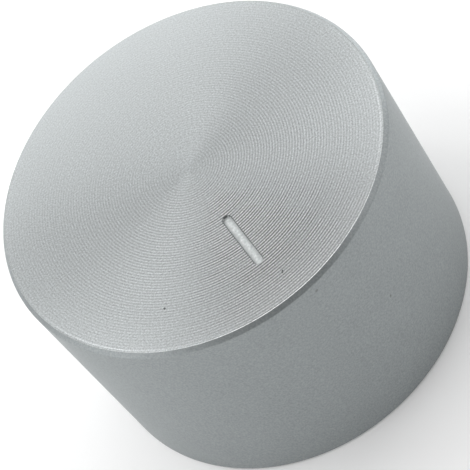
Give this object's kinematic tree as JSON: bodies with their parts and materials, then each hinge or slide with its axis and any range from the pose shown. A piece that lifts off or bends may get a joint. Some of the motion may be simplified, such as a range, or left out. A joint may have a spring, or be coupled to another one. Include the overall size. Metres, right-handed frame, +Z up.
{
  "type": "control knob",
  "caption": "Plain round turned aluminium control knob with a faced top, an engraved pointer mark, a blind shaft bore, a nut recess below and a hex socket set screw.",
  "frame": {"origin": "centre of the foot, on the knob's axis, at the panel side", "axes": "+Z up along the knob's axis towards the face, -Y along the pointer mark, +X to the right of it seen from the front"},
  "size_m": [0.03, 0.03, 0.018],
  "materials": {
    "knob_aluminium": "bead-blasted and clear anodised, with a freshly faced top",
    "screw_steel": "black oxide"
  },
  "bodies": {
    "root": {"knob_body": "knob_aluminium", "set_screw": "screw_steel"}
  },
  "joints": []
}
